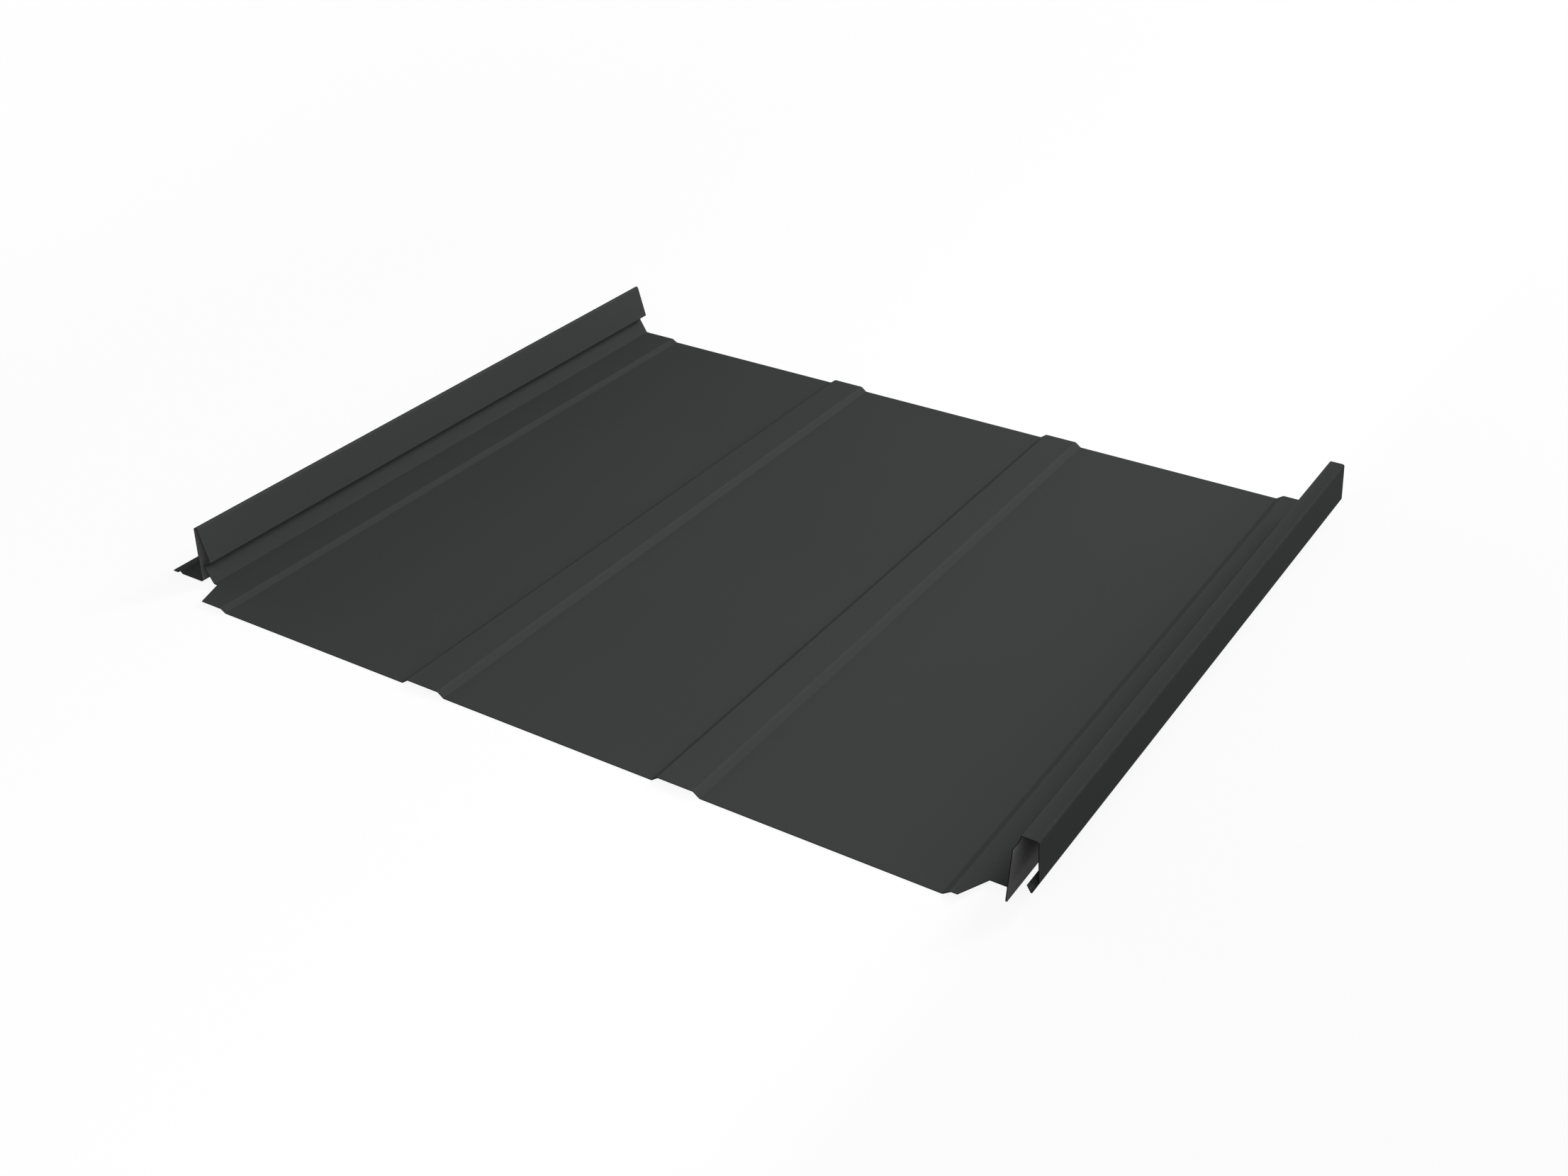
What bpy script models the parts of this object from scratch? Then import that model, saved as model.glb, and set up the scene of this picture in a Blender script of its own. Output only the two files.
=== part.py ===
"""Snap-lock standing seam roof panel, roll-formed from one pre-painted steel sheet.

The panel lies as it lies on a roof. X runs across it, from the nailing flange on
the left to the covering seam on the right. Y runs along the seams, from the eaves
end in front to the back end. Z is up. The origin is the middle of the panel's
outline, on the surface that it rests on.

All sizes are in millimetres. The section is given as the sharp corners of its
painted face, measured from the flange's free edge and from the low pans.
"""

from math import atan2, ceil, cos, pi, radians, sin, tan

import bmesh
import bpy
from mathutils import Vector

MM = 0.001

# Sheet, cut length, and the width of roof that one panel covers, from seam to seam
SHEET = 0.5
LENGTH = 405.2
COVER_WIDTH = 475.0

# Nailing flange, with a stiffening bead near its edge and slots for the screws
FLANGE_WIDTH = 21.45
FLANGE_RISE = 0.6
BEAD_FROM_EDGE = 5.0
BEAD_WIDTH = 3.7
BEAD_RISE = 1.5
SLOT_WIDTH = 6.0
SLOT_LENGTH = 30.0
SLOT_PITCH = 60.0
SLOT_FROM_WEB = 7.0
SLOT_FROM_END = 28.0

# Male seam: a leaning web, a hairpin crown and a sprung flap that ends in a barb
CROWN_HEIGHT = 33.0
CROWN_RADIUS = 1.4
WEB_LEAN = 1.15
BARB_HEIGHT = 13.8
BARB_REACH = 9.0
HEEL_HEIGHT = 10.8
HEEL_REACH = 3.55
UPSTAND_REACH = 9.15

# Pan, from left to right: raised margin, low pans with ribs between, raised margin
LEFT_MARGIN_RISE = 1.85
LEFT_MARGIN_WIDTH = 21.3
LEFT_SLOPE_RUN = 3.1
FIRST_PAN_WIDTH = 119.7
LAST_PAN_LEAST = 30.0
RIB_PITCH = 147.7
RIB_RISE = 2.55
RIB_TOP_WIDTH = 19.3
RIB_SLOPE_RUN = 3.45
RIGHT_SLOPE_RUN = 3.85

# Female seam: an upright web, a flat top, a sprung outer web and a returned lip
SEAM_BELOW_CROWN = 1.95
SEAM_TOP_WIDTH = 8.5
OUTER_WEB_LEAN = 4.3
LIP_REACH = 3.0
LIP_RISE = 4.9

# Gaps to the next panel, whose flange and male seam lie under this one's right side
BEAD_CLEARANCE = 0.1
FLANGE_CLEARANCE = 0.95
WEB_CLEARANCE = 0.1
LATCH_GAP = 0.9

# Inside radii of the bends
PAN_BEND = 1.0
SEAM_BEND = 0.7
TIGHT_BEND = 0.3
FOLD_BEND = 0.05
ARC_STEP = radians(12.0)
SAME_POINT = 0.001

# Notches at the eaves end. The seams are cut back, with a slant across each margin.
LEFT_SETBACK = 15.9
LEFT_CUT_INSET = 2.3
LEFT_CUT_SLANT = 5.5
RIGHT_SETBACK = 15.1
RIGHT_CUT_INSET = 12.0
RIGHT_CUT_SLANT = 7.3

# Two tongues stay in front of the right notch: one of the inner web, one of the lip
TONGUE_REACH = 10.2
TONGUE_RAKE = 2.8
TONGUE_DROP = 2.45
TONGUE_TOE_RADIUS = 1.5
TONGUE_THROAT_RADIUS = 1.5
LIP_TONGUE_REACH = 6.5
LIP_TONGUE_ROOT = 2.7

# How far a cutter runs past what it cuts
OVERCUT = 5.0

PAINT_COLOUR = (0.042, 0.047, 0.045, 1.0)
PAINT_ROUGHNESS = 0.42

# The right side fits over the left side of the next panel
RIGHT_MARGIN_RISE = FLANGE_RISE + BEAD_RISE + SHEET + BEAD_CLEARANCE
RIGHT_MARGIN_WIDTH = FLANGE_WIDTH + FLANGE_CLEARANCE
SEAM_HEIGHT = CROWN_HEIGHT - SEAM_BELOW_CROWN
LIP_CORNER_HEIGHT = BARB_HEIGHT - LATCH_GAP - LIP_RISE

# Places across the panel
BARB_X = FLANGE_WIDTH + BARB_REACH
UPSTAND_X = FLANGE_WIDTH + UPSTAND_REACH
FIRST_PAN_X = UPSTAND_X + LEFT_MARGIN_WIDTH + LEFT_SLOPE_RUN
RIB_WIDTH = RIB_SLOPE_RUN + RIB_TOP_WIDTH + RIB_SLOPE_RUN
INNER_WEB_X = FLANGE_WIDTH + COVER_WIDTH - WEB_CLEARANCE - SHEET
LAST_PAN_END_X = INNER_WEB_X - RIGHT_MARGIN_WIDTH - RIGHT_SLOPE_RUN
SEAM_CORNER_X = INNER_WEB_X + SEAM_TOP_WIDTH
LIP_CORNER_X = SEAM_CORNER_X + (SEAM_HEIGHT - LIP_CORNER_HEIGHT) * tan(radians(OUTER_WEB_LEAN))
TOP_OF_SHEET = max(CROWN_HEIGHT, SEAM_HEIGHT)


def male_seam_corners():
    """Flange, web, crown and flap. The crown's two corners lie on tangents of one circle."""
    bead_start = BEAD_FROM_EDGE - BEAD_WIDTH / 2
    centre_z = CROWN_HEIGHT - CROWN_RADIUS
    lean = radians(WEB_LEAN)
    centre_x = FLANGE_WIDTH + (centre_z - FLANGE_RISE) * tan(lean) + CROWN_RADIUS / cos(lean)
    across = BARB_X - centre_x
    down = centre_z - BARB_HEIGHT
    tangent_length = (across**2 + down**2 - CROWN_RADIUS**2) ** 0.5
    flap_lean = atan2(across, down) - atan2(CROWN_RADIUS, tangent_length)
    web_top_x = FLANGE_WIDTH + (CROWN_HEIGHT - FLANGE_RISE) * tan(lean)
    flap_top_x = BARB_X - (CROWN_HEIGHT - BARB_HEIGHT) * tan(flap_lean)
    return [
        (0.0, FLANGE_RISE, 0.0),
        (bead_start, FLANGE_RISE, TIGHT_BEND),
        (BEAD_FROM_EDGE, FLANGE_RISE + BEAD_RISE, TIGHT_BEND),
        (bead_start + BEAD_WIDTH, FLANGE_RISE, TIGHT_BEND),
        (FLANGE_WIDTH, FLANGE_RISE, SEAM_BEND),
        (web_top_x, CROWN_HEIGHT, CROWN_RADIUS - SHEET),
        (flap_top_x, CROWN_HEIGHT, CROWN_RADIUS - SHEET),
        (BARB_X, BARB_HEIGHT, TIGHT_BEND),
        (FLANGE_WIDTH + HEEL_REACH, HEEL_HEIGHT, TIGHT_BEND),
    ]


def pan_corners():
    """Raised left margin, low pans with as many ribs as fit, raised right margin."""
    corners = [
        (UPSTAND_X, LEFT_MARGIN_RISE, PAN_BEND),
        (UPSTAND_X + LEFT_MARGIN_WIDTH, LEFT_MARGIN_RISE, PAN_BEND),
        (FIRST_PAN_X, 0.0, PAN_BEND),
    ]
    x = FIRST_PAN_X + FIRST_PAN_WIDTH
    while x + RIB_WIDTH + LAST_PAN_LEAST <= LAST_PAN_END_X:
        corners += [
            (x, 0.0, PAN_BEND),
            (x + RIB_SLOPE_RUN, RIB_RISE, PAN_BEND),
            (x + RIB_SLOPE_RUN + RIB_TOP_WIDTH, RIB_RISE, PAN_BEND),
            (x + RIB_WIDTH, 0.0, PAN_BEND),
        ]
        x += RIB_PITCH
    return corners + [
        (LAST_PAN_END_X, 0.0, PAN_BEND),
        (LAST_PAN_END_X + RIGHT_SLOPE_RUN, RIGHT_MARGIN_RISE, PAN_BEND),
    ]


def female_seam_corners():
    """Inner web, flat top, outer web, and the lip that snaps under the next panel's barb."""
    return [
        (INNER_WEB_X, RIGHT_MARGIN_RISE, SEAM_BEND),
        (INNER_WEB_X, SEAM_HEIGHT, SEAM_BEND),
        (SEAM_CORNER_X, SEAM_HEIGHT, SEAM_BEND),
        (LIP_CORNER_X, LIP_CORNER_HEIGHT, FOLD_BEND),
        (LIP_CORNER_X - LIP_REACH, LIP_CORNER_HEIGHT + LIP_RISE, 0.0),
    ]


def roll_form(corners):
    """Bend the sheet round the corners. Gives pairs of points, painted face and back."""
    places = [Vector((x, z)) for x, z, bend in corners]
    pairs = []

    def add_pair(point, left_normal):
        if not pairs or (pairs[-1][0] - point).length > SAME_POINT:
            pairs.append((point, point - left_normal * SHEET))

    def left_of(direction):
        return Vector((-direction.y, direction.x))

    first_run = (places[1] - places[0]).normalized()
    add_pair(places[0], left_of(first_run))
    for before, here, after, corner in zip(places, places[1:], places[2:], corners[1:]):
        run_in = (here - before).normalized()
        run_out = (after - here).normalized()
        turn = atan2(run_in.cross(run_out), run_in.dot(run_out))
        # The painted face is outside a right-hand bend and inside a left-hand one.
        radius = corner[2] if turn > 0 else corner[2] + SHEET
        side = 1 if turn > 0 else -1
        start = here - run_in * radius * tan(abs(turn) / 2)
        centre = start + left_of(run_in) * radius * side
        heading = atan2(run_in.y, run_in.x)
        steps = max(2, ceil(abs(turn) / ARC_STEP))
        for step in range(steps + 1):
            angle = heading + turn * step / steps + pi / 2
            left_normal = Vector((cos(angle), sin(angle)))
            add_pair(centre - left_normal * radius * side, left_normal)
    last_run = (places[-1] - places[-2]).normalized()
    add_pair(places[-1], left_of(last_run))
    return pairs


def sheet_object(pairs):
    """The bent sheet as one closed solid: a strip of quads, extruded along the seams."""
    bm = bmesh.new()
    columns = [[bm.verts.new((p.x * MM, 0.0, p.y * MM)) for p in pair] for pair in pairs]
    strip = [
        bm.faces.new((painted, back, next_back, next_painted))
        for (painted, back), (next_painted, next_back) in zip(columns, columns[1:])
    ]
    grown = bmesh.ops.extrude_face_region(bm, geom=strip, use_keep_orig=True)
    moved = [item for item in grown["geom"] if isinstance(item, bmesh.types.BMVert)]
    bmesh.ops.translate(bm, verts=moved, vec=(0.0, LENGTH * MM, 0.0))
    bmesh.ops.recalc_face_normals(bm, faces=bm.faces)
    mesh = bpy.data.meshes.new("roof_panel")
    bm.to_mesh(mesh)
    bm.free()
    panel = bpy.data.objects.new("roof_panel", mesh)
    bpy.context.collection.objects.link(panel)
    return panel


def cutter(name, outlines, axis, low, high):
    """A cutting tool: closed outlines, given across the axis, extruded along it."""
    bm = bmesh.new()
    place = {
        "X": lambda u, v, w: (w, u, v),
        "Y": lambda u, v, w: (u, w, v),
        "Z": lambda u, v, w: (u, v, w),
    }[axis]
    for outline in outlines:
        rings = [
            [bm.verts.new([c * MM for c in place(u, v, w)]) for u, v in outline]
            for w in (low, high)
        ]
        for ring in rings:
            bm.faces.new(ring)
        count = len(outline)
        for i in range(count):
            j = (i + 1) % count
            bm.faces.new((rings[0][i], rings[0][j], rings[1][j], rings[1][i]))
    bmesh.ops.recalc_face_normals(bm, faces=bm.faces)
    mesh = bpy.data.meshes.new(name)
    bm.to_mesh(mesh)
    bm.free()
    tool = bpy.data.objects.new(name, mesh)
    bpy.context.collection.objects.link(tool)
    tool.hide_render = True
    tool.display_type = "WIRE"
    return tool


def arc(centre, radius, start, end):
    """Points on an arc, with its angles in degrees."""
    steps = max(2, ceil(abs(radians(end - start)) / ARC_STEP))
    angles = [radians(start + (end - start) * step / steps) for step in range(steps + 1)]
    return [(centre[0] + radius * cos(a), centre[1] + radius * sin(a)) for a in angles]


def tongue_foot():
    """The height of the cut through the bend at the inner web's foot."""
    return RIGHT_MARGIN_RISE + SHEET / 2


def left_notch():
    """Cuts back the male seam and the flange, with a slant to the front of the margin."""
    back_x = UPSTAND_X + LEFT_CUT_INSET
    front_x = back_x + LEFT_CUT_SLANT * (LEFT_SETBACK + OVERCUT) / LEFT_SETBACK
    outline = [
        (-OVERCUT, -OVERCUT),
        (front_x, -OVERCUT),
        (back_x, LEFT_SETBACK),
        (-OVERCUT, LEFT_SETBACK),
    ]
    return cutter("cut_left_notch", [outline], "Z", -OVERCUT, TOP_OF_SHEET + OVERCUT)


def right_margin_notch():
    """Cuts the right margin off in front of the inner web's foot, with its own slant."""
    back_x = INNER_WEB_X - RIGHT_CUT_INSET
    front_x = back_x - RIGHT_CUT_SLANT * (RIGHT_SETBACK + OVERCUT) / RIGHT_SETBACK
    end_x = INNER_WEB_X + SEAM_TOP_WIDTH / 2
    outline = [
        (front_x, -OVERCUT),
        (end_x, -OVERCUT),
        (end_x, RIGHT_SETBACK),
        (back_x, RIGHT_SETBACK),
    ]
    return cutter("cut_right_margin", [outline], "Z", -OVERCUT, tongue_foot())


def web_tongue_notch():
    """Trims the inner web to its tongue, seen from the side: raked front, round toe."""
    foot_z = tongue_foot()
    top_z = SEAM_HEIGHT - TONGUE_DROP
    front_y = RIGHT_SETBACK - TONGUE_REACH
    toe_y = front_y + TONGUE_TOE_RADIUS
    toe = arc((toe_y, foot_z + TONGUE_TOE_RADIUS), TONGUE_TOE_RADIUS, 270, 180)
    throat_y = RIGHT_SETBACK - TONGUE_THROAT_RADIUS
    throat_z = top_z + TONGUE_THROAT_RADIUS
    throat = arc((throat_y, throat_z), TONGUE_THROAT_RADIUS, 270, 360)
    above = TOP_OF_SHEET + OVERCUT
    outline = [(-OVERCUT, foot_z - SHEET), (toe_y, foot_z - SHEET)]
    outline += toe
    outline += [(front_y + TONGUE_RAKE, top_z)]
    outline += throat
    outline += [(RIGHT_SETBACK, above), (-OVERCUT, above)]
    low_x = INNER_WEB_X - OVERCUT
    return cutter("cut_web_tongue", [outline], "X", low_x, INNER_WEB_X + SEAM_TOP_WIDTH / 2)


def seam_notch():
    """Cuts back the seam's top and outer web, but leaves the lip, along a line between them."""
    web_up = Vector((-sin(radians(OUTER_WEB_LEAN)), cos(radians(OUTER_WEB_LEAN))))
    lip_up = Vector((-LIP_REACH, LIP_RISE)).normalized()
    between = (web_up + lip_up) / (web_up + lip_up).y
    corner = Vector((LIP_CORNER_X, LIP_CORNER_HEIGHT))
    root = corner + between * LIP_TONGUE_ROOT
    past_lip = corner + between * (LIP_RISE + 2 * SHEET)
    left_x = INNER_WEB_X + SEAM_TOP_WIDTH / 2 - SHEET
    right_x = LIP_CORNER_X + OVERCUT
    above = TOP_OF_SHEET + OVERCUT
    outline = [
        (root.x, root.y),
        (right_x, root.y),
        (right_x, above),
        (left_x, above),
        (left_x, past_lip.y),
        (past_lip.x, past_lip.y),
    ]
    return cutter("cut_seam", [outline], "Y", -OVERCUT, RIGHT_SETBACK)


def lip_tongue_notch():
    """Cuts the front of the lip's tongue square."""
    low = (INNER_WEB_X + SEAM_TOP_WIDTH / 2, -OVERCUT)
    high = (LIP_CORNER_X + OVERCUT, RIGHT_SETBACK - LIP_TONGUE_REACH)
    outline = [low, (high[0], low[1]), high, (low[0], high[1])]
    top = LIP_CORNER_HEIGHT + LIP_RISE + OVERCUT
    return cutter("cut_lip_tongue", [outline], "Z", LIP_CORNER_HEIGHT - OVERCUT, top)


def slot_centres():
    """Places along the flange of as many slots as fit, in the middle of its length."""
    room = LENGTH - LEFT_SETBACK - 2 * SLOT_FROM_END - SLOT_LENGTH
    gaps = int(room // SLOT_PITCH)
    middle = (LEFT_SETBACK + LENGTH) / 2
    return [middle + (i - gaps / 2) * SLOT_PITCH for i in range(gaps + 1)]


def screw_slots():
    """Slots with round ends, which let the panel grow and shrink under its screws."""
    x = FLANGE_WIDTH - SLOT_FROM_WEB
    radius = SLOT_WIDTH / 2
    half_run = SLOT_LENGTH / 2 - radius
    outlines = [
        arc((x, y + half_run), radius, 0, 180) + arc((x, y - half_run), radius, 180, 360)
        for y in slot_centres()
    ]
    return cutter("cut_screw_slots", outlines, "Z", -OVERCUT, OVERCUT)


def painted_steel():
    material = bpy.data.materials.new("painted_steel")
    material.use_nodes = True
    shader = material.node_tree.nodes["Principled BSDF"]
    shader.inputs["Base Color"].default_value = PAINT_COLOUR
    shader.inputs["Roughness"].default_value = PAINT_ROUGHNESS
    shader.inputs["Metallic"].default_value = 0.0
    return material


for scene_object in list(bpy.data.objects):
    bpy.data.objects.remove(scene_object, do_unlink=True)

section = roll_form(male_seam_corners() + pan_corners() + female_seam_corners())
roof_panel = sheet_object(section)
roof_panel.data.materials.append(painted_steel())

cutters = [
    left_notch(),
    right_margin_notch(),
    web_tongue_notch(),
    seam_notch(),
    lip_tongue_notch(),
    screw_slots(),
]
for tool in cutters:
    cut = roof_panel.modifiers.new(tool.name, "BOOLEAN")
    cut.object = tool
    cut.operation = "DIFFERENCE"
    cut.solver = "EXACT"

# The flange's edge is at x = 0 so far, the eaves at y = 0 and the low pans at z = 0.
right_edge = max(point.x for pair in section for point in pair)
panel_origin = bpy.data.objects.new("panel_origin", None)
bpy.context.collection.objects.link(panel_origin)
panel_origin.location = (-right_edge / 2 * MM, -LENGTH / 2 * MM, SHEET * MM)
for piece in [roof_panel] + cutters:
    piece.parent = panel_origin
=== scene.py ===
from math import atan2, ceil, cos, radians, sin, tan

import bpy
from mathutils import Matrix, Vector
from mathutils.geometry import delaunay_2d_cdt


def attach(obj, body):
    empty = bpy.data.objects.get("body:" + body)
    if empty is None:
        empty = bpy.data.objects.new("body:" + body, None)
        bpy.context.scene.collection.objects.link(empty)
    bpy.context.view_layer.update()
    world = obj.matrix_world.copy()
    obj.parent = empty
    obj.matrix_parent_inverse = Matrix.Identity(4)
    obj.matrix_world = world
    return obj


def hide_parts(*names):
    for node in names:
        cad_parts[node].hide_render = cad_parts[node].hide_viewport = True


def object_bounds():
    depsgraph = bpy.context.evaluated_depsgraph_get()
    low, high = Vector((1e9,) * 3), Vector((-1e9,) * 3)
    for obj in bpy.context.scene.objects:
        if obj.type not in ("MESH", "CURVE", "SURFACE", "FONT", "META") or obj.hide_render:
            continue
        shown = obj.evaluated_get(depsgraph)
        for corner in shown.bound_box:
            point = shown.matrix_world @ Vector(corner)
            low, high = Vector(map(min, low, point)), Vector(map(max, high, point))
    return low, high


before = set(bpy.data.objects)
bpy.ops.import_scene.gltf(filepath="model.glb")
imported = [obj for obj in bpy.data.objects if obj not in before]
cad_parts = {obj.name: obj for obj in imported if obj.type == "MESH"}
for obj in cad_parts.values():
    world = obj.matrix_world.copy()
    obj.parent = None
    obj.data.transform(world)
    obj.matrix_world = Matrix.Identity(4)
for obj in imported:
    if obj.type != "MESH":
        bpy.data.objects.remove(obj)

cad_low, cad_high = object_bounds()


# Roll-formed section. One strip of coated steel, half a millimetre thick, runs through
# the former and comes out with a male seam on the left, ribs in the pan and a covering
# seam on the right. Corners are on its painted face: place across, height, inside bend.
MM = 0.001
SHEET = 0.5
COVER_WIDTH = 475.0
WEB_CLEARANCE = 0.1

FLANGE_WIDTH = 21.45
FLANGE_RISE = 0.6
BEAD_FROM_EDGE = 5.0
BEAD_WIDTH = 3.7
BEAD_RISE = 1.5

CROWN_HEIGHT = 33.0
CROWN_RADIUS = 1.4
WEB_LEAN = radians(1.15)
BARB_HEIGHT = 13.8
BARB_REACH = 9.0
HEEL_HEIGHT = 10.8
HEEL_REACH = 3.55
UPSTAND_REACH = 9.15

LEFT_MARGIN_RISE = 1.85
LEFT_MARGIN_WIDTH = 21.3
LEFT_SLOPE_RUN = 3.1
FIRST_PAN_WIDTH = 119.7
RIB_COUNT = 2
RIB_PITCH = 147.7
RIB_RISE = 2.55
RIB_TOP_WIDTH = 19.3
RIB_SLOPE_RUN = 3.45
RIGHT_SLOPE_RUN = 3.85
RIGHT_MARGIN_RISE = 2.7
RIGHT_MARGIN_WIDTH = 22.4

SEAM_HEIGHT = 31.05
SEAM_TOP_WIDTH = 8.5
OUTER_WEB_LEAN = radians(4.3)
LIP_CORNER_HEIGHT = 8.0
LIP_REACH = 3.0
LIP_RISE = 4.9

PAN_BEND = 1.0
SEAM_BEND = 0.7
TIGHT_BEND = 0.3
FOLD_BEND = 0.05

upstand_x = FLANGE_WIDTH + UPSTAND_REACH
inner_web_x = FLANGE_WIDTH + COVER_WIDTH - WEB_CLEARANCE - SHEET
right_margin_x = inner_web_x - RIGHT_MARGIN_WIDTH
seam_corner_x = inner_web_x + SEAM_TOP_WIDTH
lip_corner_x = seam_corner_x + (SEAM_HEIGHT - LIP_CORNER_HEIGHT) * tan(OUTER_WEB_LEAN)


def flap_top_x():
    """Where the flap's line, a tangent of the crown's circle, meets the crown's height."""
    centre_z = CROWN_HEIGHT - CROWN_RADIUS
    web_x = FLANGE_WIDTH + (centre_z - FLANGE_RISE) * tan(WEB_LEAN)
    centre_x = web_x + CROWN_RADIUS / cos(WEB_LEAN)
    across = FLANGE_WIDTH + BARB_REACH - centre_x
    down = centre_z - BARB_HEIGHT
    tangent_length = (across**2 + down**2 - CROWN_RADIUS**2) ** 0.5
    flap_lean = atan2(across, down) - atan2(CROWN_RADIUS, tangent_length)
    return FLANGE_WIDTH + BARB_REACH - (CROWN_HEIGHT - BARB_HEIGHT) * tan(flap_lean)


def section_corners():
    """The named corners of the painted face, from the flange's edge to the lip's tip."""
    crown_bend = CROWN_RADIUS - SHEET
    bead_start = BEAD_FROM_EDGE - BEAD_WIDTH / 2
    web_top_x = FLANGE_WIDTH + (CROWN_HEIGHT - FLANGE_RISE) * tan(WEB_LEAN)
    pan_x = upstand_x + LEFT_MARGIN_WIDTH + LEFT_SLOPE_RUN
    corners = {
        "flange edge": (0.0, FLANGE_RISE, 0.0),
        "bead start": (bead_start, FLANGE_RISE, TIGHT_BEND),
        "bead top": (BEAD_FROM_EDGE, FLANGE_RISE + BEAD_RISE, TIGHT_BEND),
        "bead end": (bead_start + BEAD_WIDTH, FLANGE_RISE, TIGHT_BEND),
        "web foot": (FLANGE_WIDTH, FLANGE_RISE, SEAM_BEND),
        "web top": (web_top_x, CROWN_HEIGHT, crown_bend),
        "flap top": (flap_top_x(), CROWN_HEIGHT, crown_bend),
        "barb": (FLANGE_WIDTH + BARB_REACH, BARB_HEIGHT, TIGHT_BEND),
        "heel": (FLANGE_WIDTH + HEEL_REACH, HEEL_HEIGHT, TIGHT_BEND),
        "left margin": (upstand_x, LEFT_MARGIN_RISE, PAN_BEND),
        "left slope": (upstand_x + LEFT_MARGIN_WIDTH, LEFT_MARGIN_RISE, PAN_BEND),
        "first pan": (pan_x, 0.0, PAN_BEND),
    }
    for rib in range(RIB_COUNT):
        x = pan_x + FIRST_PAN_WIDTH + rib * RIB_PITCH
        far_x = x + RIB_SLOPE_RUN + RIB_TOP_WIDTH
        corners[f"rib {rib} foot"] = (x, 0.0, PAN_BEND)
        corners[f"rib {rib} top"] = (x + RIB_SLOPE_RUN, RIB_RISE, PAN_BEND)
        corners[f"rib {rib} far top"] = (far_x, RIB_RISE, PAN_BEND)
        corners[f"rib {rib} far foot"] = (far_x + RIB_SLOPE_RUN, 0.0, PAN_BEND)
    corners.update({
        "right slope": (right_margin_x - RIGHT_SLOPE_RUN, 0.0, PAN_BEND),
        "right margin": (right_margin_x, RIGHT_MARGIN_RISE, PAN_BEND),
        "inner web": (inner_web_x, RIGHT_MARGIN_RISE, SEAM_BEND),
        "seam top": (inner_web_x, SEAM_HEIGHT, SEAM_BEND),
        "outer web": (seam_corner_x, SEAM_HEIGHT, SEAM_BEND),
        "lip": (lip_corner_x, LIP_CORNER_HEIGHT, FOLD_BEND),
        "lip tip": (lip_corner_x - LIP_REACH, LIP_CORNER_HEIGHT + LIP_RISE, 0.0),
    })
    return corners


def unroll(corners):
    """Lays the section out flat. Gives where each straight run's first corner would lie
    across the flat sheet, where each bend starts and ends and how far it turns, the
    radius of each corner on the painted face, and the flat sheet's width."""
    names = list(corners)
    places = [Vector(corners[name][:2]) for name in names]
    runs, bends, radii = {}, [], [0.0]
    across, taken = 0.0, 0.0
    for i, name in enumerate(names[:-1]):
        run = places[i + 1] - places[i]
        runs[name] = across - taken
        across += run.length - taken
        if i + 2 == len(names):
            break
        turn = run.angle_signed(places[i + 2] - places[i + 1])
        inside_bend = corners[names[i + 1]][2]
        radius = inside_bend + SHEET if turn > 0 else inside_bend
        taken = radius * tan(abs(turn) / 2)
        across -= taken
        bends.append((across, across + radius * abs(turn), turn))
        across += radius * abs(turn)
        radii.append(radius)
    return runs, bends, radii + [0.0], across


def section_line(corners, radii):
    """The section as a chain of edges in the panel's frame, which the former bends round."""
    left = cad_low.x / MM
    floor = cad_low.z / MM + SHEET
    mesh = bpy.data.meshes.new("roll_section")
    points = [((left + x) * MM, 0.0, (floor + z) * MM) for x, z, _ in corners.values()]
    mesh.from_pydata(points, [(i, i + 1) for i in range(len(points) - 1)], [])
    bend_radius = mesh.attributes.new("bend_radius", "FLOAT", "POINT")
    bend_radius.data.foreach_set("value", [radius * MM for radius in radii])
    return bpy.data.objects.new("roll_section", mesh)


corners = section_corners()
runs, bends, radii, strip_width = unroll(corners)
roll_section = section_line(corners, radii)


# Flat blank. The strip is cut to length, notched at the eaves end and punched with
# screw slots along the nailing flange while it is still flat. Places are across the
# flat strip and along it, from the eaves, so each notch is a line on this sheet.
LEFT_SETBACK = 15.9
LEFT_CUT_INSET = 2.3
LEFT_CUT_SLANT = 5.5
RIGHT_SETBACK = 15.1
RIGHT_CUT_INSET = 12.0
RIGHT_CUT_SLANT = 7.3
FOOT_CUT_SHARE = 0.65
TONGUE_REACH = 10.2
TONGUE_RAKE = 2.8
TONGUE_DROP = 2.45
TONGUE_RADIUS = 1.5
LIP_TONGUE_REACH = 6.5
LIP_TONGUE_ROOT = 2.7
SLOT_WIDTH = 6.0
SLOT_LENGTH = 30.0
SLOT_PITCH = 60.0
SLOT_FROM_WEB = 7.0
SLOT_FROM_END = 28.0
BEND_STEP = radians(4.0)
SHOULDER = 0.6
CURVE_STEP = radians(6.0)
FOLD_LINE_OVERRUN = 1.0
SAME_POINT = 0.005
WHOLE_HULL = 0

length = (cad_high.y - cad_low.y) / MM


def arc(centre, radius, start, end):
    """Points of an arc on the flat strip, with its angles in degrees."""
    turn = radians(end - start)
    steps = ceil(abs(turn) / CURVE_STEP)
    angles = [radians(start) + turn * step / steps for step in range(steps + 1)]
    return [(centre[0] + radius * cos(a), centre[1] + radius * sin(a)) for a in angles]


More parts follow.
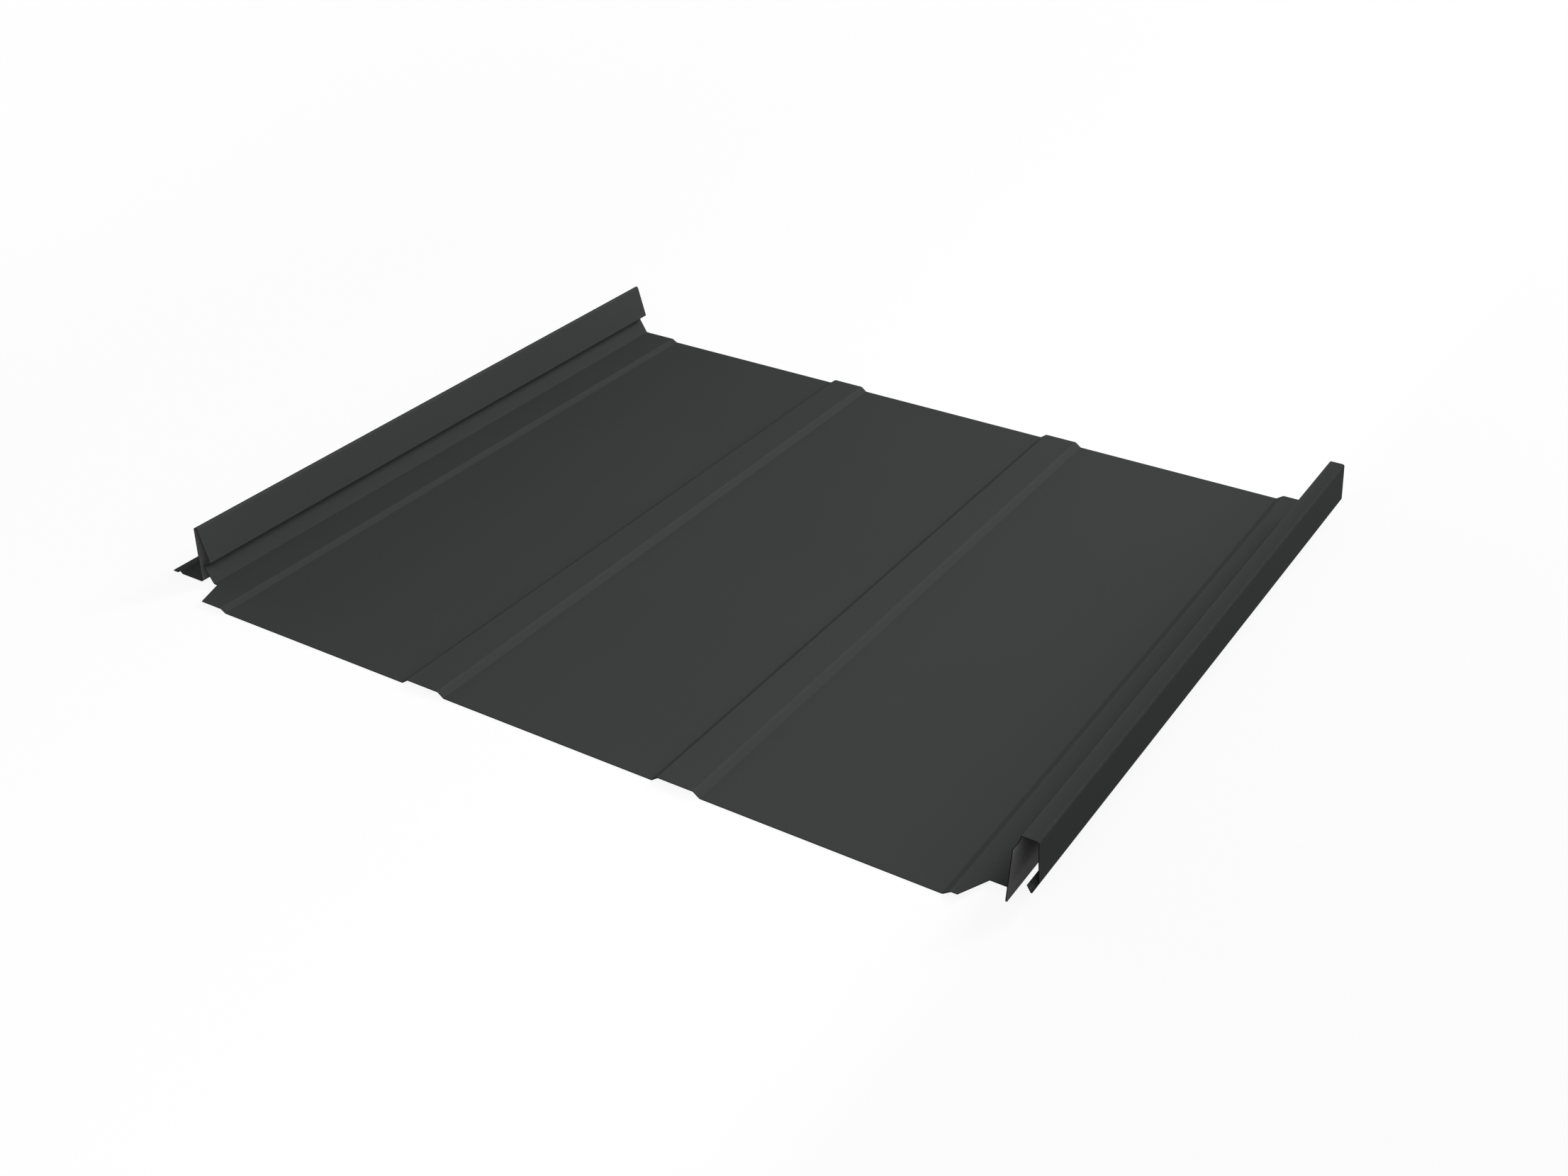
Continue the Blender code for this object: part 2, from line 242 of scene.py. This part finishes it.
def blank_outline():
    """The strip's edge, from the left corner of the eaves end round to the back end."""
    left_cut = runs["left margin"] + LEFT_CUT_INSET
    right_cut = runs["right margin"] + RIGHT_MARGIN_WIDTH - RIGHT_CUT_INSET
    foot_start, foot_end, _ = bends[list(corners).index("inner web") - 1]
    foot = foot_start + FOOT_CUT_SHARE * (foot_end - foot_start)
    tongue_front = RIGHT_SETBACK - TONGUE_REACH
    tongue_top = runs["inner web"] + SEAM_HEIGHT - RIGHT_MARGIN_RISE - TONGUE_DROP
    root_drop = SEAM_HEIGHT - LIP_CORNER_HEIGHT - LIP_TONGUE_ROOT
    root = runs["outer web"] + root_drop / cos(OUTER_WEB_LEAN)
    lip_front = RIGHT_SETBACK - LIP_TONGUE_REACH
    toe = arc((foot + TONGUE_RADIUS, tongue_front + TONGUE_RADIUS), TONGUE_RADIUS, 180, 270)
    throat_centre = (tongue_top + TONGUE_RADIUS, RIGHT_SETBACK - TONGUE_RADIUS)
    return [
        (0.0, LEFT_SETBACK),
        (left_cut, LEFT_SETBACK),
        (left_cut + LEFT_CUT_SLANT, 0.0),
        (right_cut - RIGHT_CUT_SLANT, 0.0),
        (right_cut, RIGHT_SETBACK),
        (foot, RIGHT_SETBACK),
        *toe,
        (tongue_top, tongue_front + TONGUE_RAKE),
        *arc(throat_centre, TONGUE_RADIUS, 180, 90),
        (root, RIGHT_SETBACK),
        (root, lip_front),
        (strip_width, lip_front),
        (strip_width, length),
        (0.0, length),
    ]


def slot_outlines():
    """As many round-ended slots as fit along the flange, centred on its length."""
    x = runs["web foot"] - SLOT_FROM_WEB
    radius = SLOT_WIDTH / 2
    half_run = SLOT_LENGTH / 2 - radius
    room = length - LEFT_SETBACK - 2 * SLOT_FROM_END - SLOT_LENGTH
    gaps = int(room // SLOT_PITCH)
    middle = (LEFT_SETBACK + length) / 2
    centres = [middle + (i - gaps / 2) * SLOT_PITCH for i in range(gaps + 1)]
    return [
        arc((x, y + half_run), radius, 0, 180) + arc((x, y - half_run), radius, 180, 360)
        for y in centres
    ]


def fold_lines():
    """Places across the strip where it needs a line of points: bends and their shoulders."""
    lines = []
    for start, end, turn in bends:
        steps = ceil(abs(turn) / BEND_STEP)
        lines += [start + (end - start) * step / steps for step in range(steps + 1)]
        lines += [start - SHOULDER, end + SHOULDER]
    return sorted(lines)


def inside(point, outlines):
    """Whether a point lies on the sheet: inside its outline and in none of the slots."""
    within = False
    for outline in outlines:
        for (x0, y0), (x1, y1) in zip(outline, outline[1:] + outline[:1]):
            if (y0 > point.y) != (y1 > point.y):
                if point.x < x0 + (point.y - y0) / (y1 - y0) * (x1 - x0):
                    within = not within
    return within


def flat_blank():
    """The notched and punched strip as a flat mesh, divided along its fold lines."""
    outlines = [blank_outline()] + slot_outlines()
    points, edges = [], []
    for outline in outlines:
        first = len(points)
        points += [Vector(place) for place in outline]
        edges += [(first + i, first + (i + 1) % len(outline)) for i in range(len(outline))]
    for x in fold_lines():
        edges.append((len(points), len(points) + 1))
        points += [Vector((x, -FOLD_LINE_OVERRUN)), Vector((x, length + FOLD_LINE_OVERRUN))]
    verts, _, faces, *_ = delaunay_2d_cdt(points, edges, [], WHOLE_HULL, SAME_POINT)
    kept = [
        face
        for face in faces
        if inside(sum((verts[i] for i in face), Vector((0.0, 0.0))) / len(face), outlines)
    ]
    used = sorted({i for face in kept for i in face})
    number = {old: new for new, old in enumerate(used)}
    eaves = cad_low.y / MM
    mesh = bpy.data.meshes.new("flat_blank")
    mesh.from_pydata(
        [(verts[i].x * MM, (eaves + verts[i].y) * MM, 0.0) for i in used],
        [],
        [[number[i] for i in face] for face in kept],
    )
    return mesh


sheet = bpy.data.objects.new("panel_sheet", flat_blank())
bpy.context.scene.collection.objects.link(sheet)


# Coats. The strip is painted on the coil, before it is rolled: a matt dark grey topcoat
# on the weather side and a thinner, neutral grey backing coat underneath. Outside bends
# are drawn lighter, partly where rolling rubs the topcoat and partly as a painted highlight,
# and the shear leaves a dark line of steel between.
TOPCOAT = (0.0377, 0.0405, 0.0396, 1.0)
TOPCOAT_DEEP = (0.0348, 0.0373, 0.0365, 1.0)
# Lighter topcoat for outside bends: partly paint worn by the rolls, partly a painted highlight.
TOPCOAT_RUBBED_AND_HIGHLIT = (0.0510, 0.0531, 0.0526, 1.0)
BACKING = (0.1250, 0.1245, 0.1250, 1.0)
BACKING_THIN = (0.1100, 0.1095, 0.1100, 1.0)
EDGE_STEEL = (0.0100, 0.0100, 0.0100, 1.0)
EDGE_ZINC = (0.0300, 0.0300, 0.0310, 1.0)
TOPCOAT_ROUGHNESS = 0.35
BACKING_ROUGHNESS = 0.6
EDGE_ROUGHNESS = 0.6
COAT_GLOSS = 0.0006
GRAIN_PER_METRE = 2600.0
PEEL_PER_METRE = 520.0
MOTTLE_PER_METRE = 11.0
RUB_AND_HIGHLIGHT_PER_METRE = 160.0
ROLL_LINES_PER_METRE = (900.0, 4.0, 1.0)
GRAIN_SHARE = 0.35
PEEL_SHARE = 0.5
ROLL_LINE_SHARE = 0.15
RELIEF_HEIGHT = 0.00005
TOPCOAT_RELIEF = 0.22
BACKING_RELIEF = 0.3
EDGE_RELIEF = 0.4
TOPCOAT_MOTTLE_SHARE = 0.7
BACKING_MOTTLE_SHARE = 0.5
TOPCOAT_ROLL_SWING = 0.08
TOPCOAT_MOTTLE_SWING = 0.05
BACKING_SWING = 0.12
EDGE_SWING = 0.2
# The mask of lighter outside bends: worn paint and painted highlight together.
RUB_AND_HIGHLIGHT_PATCH_CONTRAST = 1.6
RUB_AND_HIGHLIGHT_PATCH_LOSS = 0.25
RUB_AND_HIGHLIGHT_STRENGTH = 0.8
RUB_POLISH = 0.06
ZINC_DEPTH = 0.07
STEEL_DEPTH = 0.14
EDGE_TEAR = 0.05


class Wire:
    """One output of a node. A sum on wires adds the maths nodes that work it out."""

    def __init__(self, graph, socket):
        self.graph = graph
        self.socket = socket

    def out(self, name):
        """Another output of the same node."""
        return Wire(self.graph, self.socket.node.outputs[name])

    def maths(self, operation, *values):
        settings = {"operation": operation}
        return self.graph.node("ShaderNodeMath", settings, dict(enumerate(values)))

    def __add__(self, other):
        return self.maths("ADD", self, other)

    def __radd__(self, other):
        return self.maths("ADD", other, self)

    def __sub__(self, other):
        return self.maths("SUBTRACT", self, other)

    def __rsub__(self, other):
        return self.maths("SUBTRACT", other, self)

    def __mul__(self, other):
        return self.maths("MULTIPLY", self, other)

    def __rmul__(self, other):
        return self.maths("MULTIPLY", other, self)

    def __truediv__(self, other):
        return self.maths("DIVIDE", self, other)

    def __rtruediv__(self, other):
        return self.maths("DIVIDE", other, self)

    def __neg__(self):
        return self.maths("MULTIPLY", self, -1.0)

    def __gt__(self, limit):
        return self.maths("GREATER_THAN", self, limit)

    def __lt__(self, limit):
        return self.maths("LESS_THAN", self, limit)


class Graph:
    """A node tree, with one call that adds any node."""

    def __init__(self, tree):
        self.tree = tree

    def node(self, kind, settings=None, sockets=None, output=0):
        """Adds a node, sets what it needs first, then fills or links its sockets."""
        node = self.tree.nodes.new(kind)
        for name, value in (settings or {}).items():
            if name == "stops":
                self.set_stops(node.color_ramp.elements, value)
            else:
                setattr(node, name, value)
        for name, value in (sockets or {}).items():
            self.fill(self.find(node.inputs, name), value)
        return Wire(self, self.find(node.outputs, output)) if len(node.outputs) else node

    def set_stops(self, elements, stops):
        while len(elements) < len(stops):
            elements.new(1.0)
        for element, (place, colour) in zip(elements, stops):
            element.position = place
            element.color = colour

    def find(self, sockets, name):
        """A socket by its number, its identifier or its name."""
        if isinstance(name, int):
            return sockets[name]
        exact = [socket for socket in sockets if socket.identifier == name]
        return exact[0] if exact else sockets[name]

    def fill(self, socket, value):
        for part in value if isinstance(value, list) else [value]:
            if isinstance(part, Wire):
                self.tree.links.new(part.socket, socket)
            else:
                socket.default_value = part


def start_material(name):
    """A material with an empty node tree, and the graph that fills it."""
    material = bpy.data.materials.new(name)
    material.use_nodes = True
    material.node_tree.nodes.clear()
    return material, Graph(material.node_tree)


def finish_material(graph, sockets):
    """Closes a coat's graph with its shader, nearly without gloss."""
    matt = {"Specular IOR Level": COAT_GLOSS}
    shader = graph.node("ShaderNodeBsdfPrincipled", {}, matt | sockets)
    graph.node("ShaderNodeOutputMaterial", {}, {"Surface": shader})


def noise(graph, place, per_metre, detail=2.0):
    sockets = {"Vector": place, "Scale": per_metre, "Detail": detail}
    return graph.node("ShaderNodeTexNoise", {}, sockets, "Fac")


def blend(graph, amount, first, second):
    sockets = {"Factor_Float": amount, "A_Color": first, "B_Color": second}
    return graph.node("ShaderNodeMix", {"data_type": "RGBA"}, sockets, "Result_Color")


def clamp(value):
    return value.maths("MINIMUM", value.maths("MAXIMUM", value, 0.0), 1.0)


def swing(marks, amount):
    """Noise as a swing of this size about nought."""
    return amount * (marks - 0.5)


def mixed(share, first, second):
    return share * first + (1.0 - share) * second


def relief(graph, height, strength):
    sockets = {"Height": height, "Strength": strength, "Distance": RELIEF_HEIGHT}
    return graph.node("ShaderNodeBump", {}, sockets)


def coat_relief(graph, place, roll_lines, strength):
    """Fine grain over a soft orange peel, with faint lines from the rolls."""
    grain = noise(graph, place, GRAIN_PER_METRE)
    peel = noise(graph, place, PEEL_PER_METRE, detail=1.0)
    height = GRAIN_SHARE * grain + PEEL_SHARE * peel + ROLL_LINE_SHARE * roll_lines
    return relief(graph, height, strength)


def roll_marks(graph):
    """Noise drawn out along the strip, the trace that the forming rolls leave."""
    strip = graph.node("ShaderNodeUVMap", {"uv_map": "strip"})
    stretched = {0: strip, 1: ROLL_LINES_PER_METRE}
    lines = graph.node("ShaderNodeVectorMath", {"operation": "MULTIPLY"}, stretched)
    return noise(graph, lines, 1.0, detail=3.0)


def topcoat_material():
    material, graph = start_material("topcoat")
    place = graph.node("ShaderNodeTexCoord", {}, {}, "Object")
    outside_bend = graph.node("ShaderNodeAttribute", {"attribute_name": "bend"}, {}, "Fac")
    mottle = noise(graph, place, MOTTLE_PER_METRE, detail=4.0)
    rolled = roll_marks(graph)
    patchy = noise(graph, place, RUB_AND_HIGHLIGHT_PER_METRE, detail=3.0)
    # Outside bends are lightened: partly topcoat worn by the rolls, partly a painted highlight
    # along the bend.
    rub_and_highlight = clamp(clamp(outside_bend) * (patchy * RUB_AND_HIGHLIGHT_PATCH_CONTRAST - RUB_AND_HIGHLIGHT_PATCH_LOSS))
    shade = clamp(mixed(TOPCOAT_MOTTLE_SHARE, mottle, rolled))
    colour = blend(graph, shade, TOPCOAT_DEEP, TOPCOAT)
    worn = swing(rolled, TOPCOAT_ROLL_SWING) + swing(mottle, TOPCOAT_MOTTLE_SWING)
    finish_material(graph, {
        "Base Color": blend(graph, rub_and_highlight * RUB_AND_HIGHLIGHT_STRENGTH, colour, TOPCOAT_RUBBED_AND_HIGHLIT),
        "Roughness": TOPCOAT_ROUGHNESS + worn - RUB_POLISH * rub_and_highlight,
        "Normal": coat_relief(graph, place, rolled, TOPCOAT_RELIEF),
    })
    return material


def backing_material():
    material, graph = start_material("backing_coat")
    place = graph.node("ShaderNodeTexCoord", {}, {}, "Object")
    rolled = roll_marks(graph)
    thin = noise(graph, place, MOTTLE_PER_METRE * 3, detail=4.0)
    shade = clamp(mixed(BACKING_MOTTLE_SHARE, thin, rolled))
    finish_material(graph, {
        "Base Color": blend(graph, shade, BACKING_THIN, BACKING),
        "Roughness": BACKING_ROUGHNESS + swing(thin, BACKING_SWING),
        "Normal": coat_relief(graph, place, rolled, BACKING_RELIEF),
    })
    return material


def cut_edge_material():
    """Across the thickness: topcoat, zinc, steel, zinc and backing, as the depth rises."""
    material, graph = start_material("cut_edge")
    place = graph.node("ShaderNodeTexCoord", {}, {}, "Object")
    depth = graph.node("ShaderNodeAttribute", {"attribute_name": "depth"}, {}, "Fac")
    torn = noise(graph, place, GRAIN_PER_METRE, detail=3.0)
    layers = graph.node("ShaderNodeValToRGB", {"stops": [
        (0.0, TOPCOAT_DEEP),
        (ZINC_DEPTH, EDGE_ZINC),
        (STEEL_DEPTH, EDGE_STEEL),
        (1.0 - STEEL_DEPTH, EDGE_STEEL),
        (1.0 - ZINC_DEPTH, EDGE_ZINC),
        (1.0, BACKING_THIN),
    ]}, {"Fac": clamp(depth + swing(torn, EDGE_TEAR))})
    finish_material(graph, {
        "Base Color": layers,
        "Roughness": EDGE_ROUGHNESS + swing(torn, EDGE_SWING),
        "Normal": relief(graph, torn, EDGE_RELIEF),
    })
    return material


# Roll forming. The former bends the flat blank round the section: each point keeps its
# place along the strip and moves to its distance along the rounded line. The back face
# lies one thickness behind in the backing coat, but on the returned lip both are dark.
FILLET_POINTS = 48
BEND_REACH = 0.5
SHARP_EDGE = radians(30.0)
JOIN_DISTANCE = 0.0001
TOPCOAT_FACE = 1
BACKING_FACE = 2


def attribute(graph, name, kind="FLOAT"):
    return graph.node("GeometryNodeInputNamedAttribute", {"data_type": kind}, {"Name": name})


def store(graph, geometry, name, value, kind="FLOAT", domain="POINT"):
    settings = {"data_type": kind, "domain": domain}
    sockets = {"Geometry": geometry, "Name": name, "Value": value}
    return graph.node("GeometryNodeStoreNamedAttribute", settings, sockets)


def vector(graph, x, y, z):
    return graph.node("ShaderNodeCombineXYZ", {}, {"X": x, "Y": y, "Z": z})


def scaled(graph, direction, amount):
    sockets = {0: direction, "Scale": amount}
    return graph.node("ShaderNodeVectorMath", {"operation": "SCALE"}, sockets)


def added(graph, first, second):
    return graph.node("ShaderNodeVectorMath", {"operation": "ADD"}, {0: first, 1: second})


def roll_former():
    """The node tree that turns a flat blank into the finished panel."""
    tree = bpy.data.node_groups.new("roll_former", "GeometryNodeTree")
    for name, kind in (
        ("Blank", "Geometry"),
        ("Section", "Object"),
        ("Thickness", "Float"),
        ("Bend reach", "Float"),
        ("Sharp edge", "Float"),
        ("Lip start", "Float"),
        ("Topcoat", "Material"),
        ("Backing coat", "Material"),
        ("Cut edge", "Material"),
    ):
        tree.interface.new_socket(name, in_out="INPUT", socket_type="NodeSocket" + kind)
    tree.interface.new_socket("Panel", in_out="OUTPUT", socket_type="NodeSocketGeometry")
    graph = Graph(tree)
    given = graph.node("NodeGroupInput")

    line = graph.node("GeometryNodeObjectInfo", {}, {"Object": given.out("Section")}, "Geometry")
    chain = graph.node("GeometryNodeMeshToCurve", {}, {"Mesh": line})
    rounded = graph.node("GeometryNodeFilletCurve", {"mode": "POLY"}, {
        "Curve": chain,
        "Count": FILLET_POINTS,
        "Radius": attribute(graph, "bend_radius"),
        "Limit Radius": False,
    })

    def sample(distance):
        """The rounded section's place at this distance from the flange's edge."""
        sockets = {"Curves": rounded, "Length": distance}
        return graph.node("GeometryNodeSampleCurve", {"mode": "LENGTH"}, sockets, "Position")

    def parts(wire):
        """A vector's three parts."""
        split = graph.node("ShaderNodeSeparateXYZ", {}, {"Vector": wire})
        return split, split.out("Y"), split.out("Z")

    across, along, _ = parts(graph.node("GeometryNodeInputPosition"))
    here = sample(across)
    x, _, z = parts(here)
    run_x, _, run_z = parts(here.out("Tangent"))
    in_x, _, in_z = parts(sample(across - given.out("Bend reach")).out("Tangent"))
    out_x, _, out_z = parts(sample(across + given.out("Bend reach")).out("Tangent"))

    bare = {"Geometry": given, "Material": given.out("Cut edge")}
    marked = graph.node("GeometryNodeSetMaterial", {}, bare)
    marked = store(graph, marked, "bend", in_z * out_x - in_x * out_z)
    outward = vector(graph, -run_z, 0.0, run_x)
    marked = store(graph, marked, "outward", outward, "FLOAT_VECTOR")
    flat_place = vector(graph, across, along, 0.0)
    marked = store(graph, marked, "strip", flat_place, "FLOAT2", "CORNER")
    marked = store(graph, marked, "place", vector(graph, x, along, z), "FLOAT_VECTOR")
    marked = store(graph, marked, "lip", across > given.out("Lip start"))
    marked = store(graph, marked, "coat", TOPCOAT_FACE, "INT", "FACE")
    place = attribute(graph, "place", "FLOAT_VECTOR")
    moved = {"Geometry": marked, "Position": place}
    weather_side = graph.node("GeometryNodeSetPosition", {}, moved)

    outward = attribute(graph, "outward", "FLOAT_VECTOR")
    inward = scaled(graph, outward, -given.out("Thickness"))
    grown = graph.node("GeometryNodeExtrudeMesh", {}, {
        "Mesh": weather_side,
        "Offset": inward,
        "Offset Scale": 1.0,
        "Individual": False,
    })
    back_coat = grown.out("Top") * (BACKING_FACE - attribute(graph, "lip"))
    back = store(graph, grown, "coat", back_coat, "INT", "FACE")
    back = store(graph, back, "depth", grown.out("Top"))
    back = graph.node("GeometryNodeSetPosition", {}, {
        "Geometry": back,
        "Selection": grown.out("Top"),
        "Position": added(graph, place, inward),
    })
    back = graph.node("GeometryNodeFlipFaces", {}, {"Mesh": back})
    both = graph.node("GeometryNodeJoinGeometry", {}, {"Geometry": [weather_side, back]})
    distance = {"Geometry": both, "Distance": JOIN_DISTANCE * MM}
    panel = graph.node("GeometryNodeMergeByDistance", {}, distance)

    smooth = {"Geometry": panel, "Shade Smooth": True}
    panel = graph.node("GeometryNodeSetShadeSmooth", {}, smooth)
    sharp = graph.node("GeometryNodeInputMeshEdgeAngle") > given.out("Sharp edge")
    panel = graph.node("GeometryNodeSetShadeSmooth", {"domain": "EDGE"}, {
        "Geometry": panel,
        "Selection": sharp,
        "Shade Smooth": False,
    })
    for name in ("outward", "place", "lip"):
        spent = {"Geometry": panel, "Name": name}
        panel = graph.node("GeometryNodeRemoveAttribute", {}, spent)
    panel = graph.node("GeometryNodeRealizeInstances", {}, {"Geometry": panel})
    coat = attribute(graph, "coat", "INT")
    for number, name in ((TOPCOAT_FACE, "Topcoat"), (BACKING_FACE, "Backing coat")):
        panel = graph.node("GeometryNodeSetMaterial", {}, {
            "Geometry": panel,
            "Selection": coat > number - 0.5,
            "Material": given.out(name),
        })
    graph.node("NodeGroupOutput", {}, {"Panel": panel})
    return tree


def run_former(blank, values):
    """Sets the former's inputs by their identifiers and keeps what it makes as a mesh."""
    former = blank.modifiers.new("roll_former", "NODES")
    former.node_group = roll_former()
    for item in former.node_group.interface.items_tree:
        if item.name in values:
            former[item.identifier] = values[item.name]
    evaluated = blank.evaluated_get(bpy.context.evaluated_depsgraph_get())
    made = bpy.data.meshes.new_from_object(evaluated)
    blank.modifiers.remove(former)
    blank.data = made


run_former(sheet, {
    "Section": roll_section,
    "Thickness": SHEET * MM,
    "Bend reach": BEND_REACH * MM,
    "Sharp edge": SHARP_EDGE,
    "Lip start": bends[-1][1] * MM,
    "Topcoat": topcoat_material(),
    "Backing coat": backing_material(),
    "Cut edge": cut_edge_material(),
})
bpy.data.objects.remove(roll_section)
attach(sheet, "root")
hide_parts("roof_panel")


# Studio floor. A pale sheet that runs far past the picture. It glows near white where the
# panel's soft shadow falls on it and quite white farther off.
FLOOR_HALF = 6.0
FLOOR_DROP = 0.0002
FLOOR_COLOUR = (0.75, 0.75, 0.75, 1.0)
FLOOR_ROUGHNESS = 0.9
WHITE = (1.0, 1.0, 1.0, 1.0)
GLOW_BY_PANEL = 0.9
GLOW_STARTS_TO_RISE = 0.5
GLOW_IS_FULL = 1.5


def white_to_the_camera(graph):
    """1 for what the camera sees directly or by a mirror or through glass, else 0."""
    path = graph.node("ShaderNodeLightPath", {}, {}, "Is Camera Ray")
    mirrored = path.out("Is Glossy Ray")
    through = path.out("Is Transmission Ray")
    return path.maths("MAXIMUM", path.maths("MAXIMUM", path, mirrored), through)


def floor_material():
    material, graph = start_material("studio_floor")
    matt = {"Base Color": FLOOR_COLOUR, "Roughness": FLOOR_ROUGHNESS}
    paper = graph.node("ShaderNodeBsdfPrincipled", {}, matt)
    glow = graph.node("ShaderNodeEmission", {}, {"Color": WHITE, "Strength": 1.0})
    place = graph.node("ShaderNodeTexCoord", {}, {}, "Object")
    radius = graph.node("ShaderNodeVectorMath", {"operation": "LENGTH"}, {0: place}, "Value")
    far = clamp((radius - GLOW_STARTS_TO_RISE) / (GLOW_IS_FULL - GLOW_STARTS_TO_RISE))
    share = GLOW_BY_PANEL + (1.0 - GLOW_BY_PANEL) * far
    amount = white_to_the_camera(graph) * share
    shown = graph.node("ShaderNodeMixShader", {}, {0: amount, 1: paper, 2: glow})
    graph.node("ShaderNodeOutputMaterial", {}, {"Surface": shown})
    return material


floor_mesh = bpy.data.meshes.new("studio_floor")
floor_z = cad_low.z - FLOOR_DROP
floor_mesh.from_pydata(
    [
        (-FLOOR_HALF, -FLOOR_HALF, floor_z),
        (FLOOR_HALF, -FLOOR_HALF, floor_z),
        (FLOOR_HALF, FLOOR_HALF, floor_z),
        (-FLOOR_HALF, FLOOR_HALF, floor_z),
    ],
    [],
    [(0, 1, 2, 3)],
)
floor_mesh.materials.append(floor_material())
floor = bpy.data.objects.new("studio_floor", floor_mesh)
bpy.context.scene.collection.objects.link(floor)


# Studio light. Four soft boxes stand round the panel. The long one over the covering seam
# faces left, so it lifts all that faces right except that seam's own outer side, which
# stays dark. One stands far behind, one in front and a weak one on the left.
SKY_STRENGTH = 0.25
LAMPS = {
    "side_box": {
        "place": (0.255, 0.0, 0.35),
        "aim": (-1.0, 0.0, 0.35),
        "size": (1.6, 0.6),
        "watts": 3.6,
    },
    "back_box": {
        "place": (0.88, 1.73, 1.41),
        "aim": (0.0, 0.0, 0.0),
        "size": (0.5, 1.0),
        "watts": 46.0,
    },
    "front_box": {
        "place": (0.1, -0.9, 0.9),
        "aim": (0.0, 0.0, 0.0),
        "size": (0.8, 0.5),
        "watts": 4.2,
    },
    "left_box": {
        "place": (-1.2, 0.0, 0.35),
        "aim": (1.0, 0.0, 0.35),
        "size": (0.9, 0.5),
        "watts": 3.5,
    },
}

world = bpy.data.worlds.new("studio_sky")
world.use_nodes = True
world.node_tree.nodes.clear()
sky = Graph(world.node_tree)
seen = white_to_the_camera(sky)
brightness = SKY_STRENGTH + (1.0 - SKY_STRENGTH) * seen
background = sky.node("ShaderNodeBackground", {}, {"Color": WHITE, "Strength": brightness})
sky.node("ShaderNodeOutputWorld", {}, {"Surface": background})
bpy.context.scene.world = world

for name, values in LAMPS.items():
    lamp = bpy.data.lights.new(name, "AREA")
    lamp.shape = "RECTANGLE"
    lamp.size, lamp.size_y = values["size"]
    lamp.energy = values["watts"]
    stand = bpy.data.objects.new(name, lamp)
    stand.location = values["place"]
    facing = Vector(values["aim"]) - Vector(values["place"])
    stand.rotation_euler = facing.to_track_quat("-Z", "Y").to_euler()
    stand.visible_camera = False
    bpy.context.scene.collection.objects.link(stand)


# Camera. It stands where the photograph was taken from: in front of the eaves on the
# right, turned 32 degrees to the left and looking 31 degrees down.
CAMERA_PLACE = (0.48206, -0.75056, 0.5112)
CAMERA_TILT = radians(59.0)
CAMERA_TURN = radians(32.0)
LENS = 43.455
SENSOR_WIDTH = 36.0
NEAREST_SEEN = 0.01

lens = bpy.data.cameras.new("camera")
lens.lens = LENS
lens.sensor_width = SENSOR_WIDTH
lens.clip_start = NEAREST_SEEN
camera = bpy.data.objects.new("camera", lens)
camera.location = CAMERA_PLACE
camera.rotation_euler = (CAMERA_TILT, 0.0, CAMERA_TURN)
bpy.context.scene.collection.objects.link(camera)
bpy.context.scene.camera = camera
bpy.context.scene.view_settings.view_transform = "Standard"
